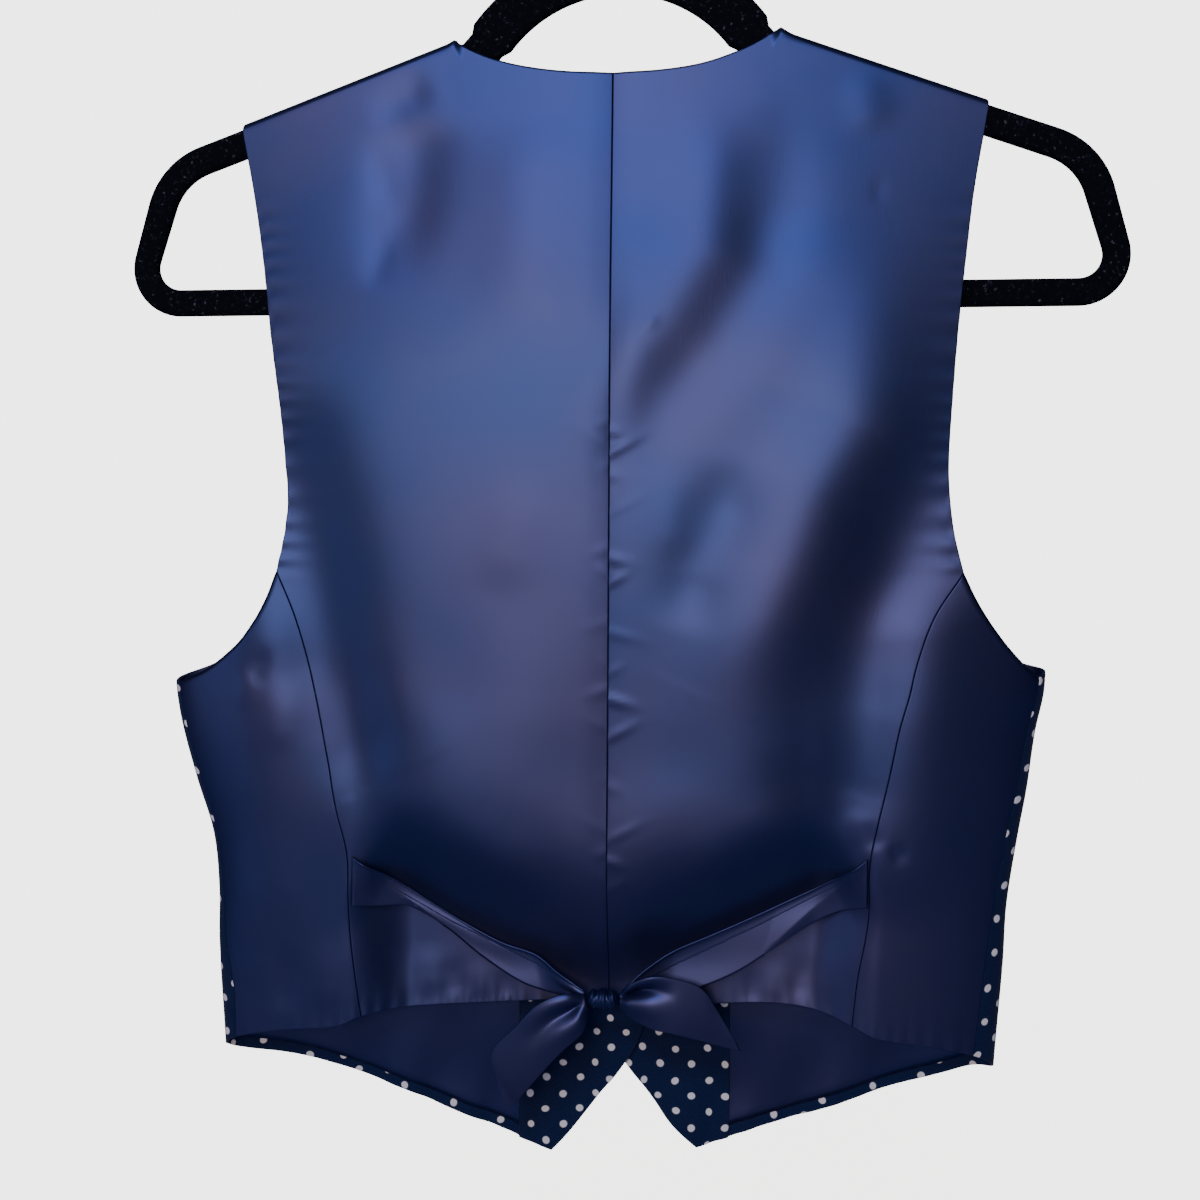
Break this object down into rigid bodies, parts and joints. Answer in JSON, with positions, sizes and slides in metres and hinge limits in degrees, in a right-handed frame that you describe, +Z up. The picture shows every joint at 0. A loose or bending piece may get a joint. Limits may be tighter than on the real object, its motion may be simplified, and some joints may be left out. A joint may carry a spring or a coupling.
{
  "type": "suit waistcoat on hanger",
  "caption": "Sleeveless V-neck waistcoat with a satin back, a waist tie and dotted buttoned fronts, hanging closed on a slim flocked hanger with a wire hook.",
  "frame": {"origin": "underside of the hook's crown, where a rail carries the hanger", "axes": "+Z up; the back of the waistcoat faces -Y; the wearer's right side is towards +X"},
  "size_m": [0.4406, 0.042, 0.6125],
  "materials": {
    "satin": "smooth navy satin lining cloth",
    "dotted": "matt navy cloth with small white dots",
    "velvet": "black flock on a plastic frame",
    "metal": "bright plated wire",
    "button": "navy, low gloss"
  },
  "bodies": {
    "root": {"back_centre_left": "satin", "back_centre_right": "satin", "back_side_left": "satin", "back_side_right": "satin", "front_lining_left": "satin", "front_lining_right": "satin", "tie_left": "satin", "tie_right": "satin", "tie_knot": "satin", "tie_tail_left": "satin", "tie_tail_right": "satin", "front_left": "dotted", "front_right": "dotted", "front_facing_left": "dotted", "front_facing_right": "dotted", "hanger_frame": "velvet", "hanger_hook": "metal", "button_1": "button", "button_2": "button", "button_3": "button", "button_4": "button"}
  },
  "joints": []
}
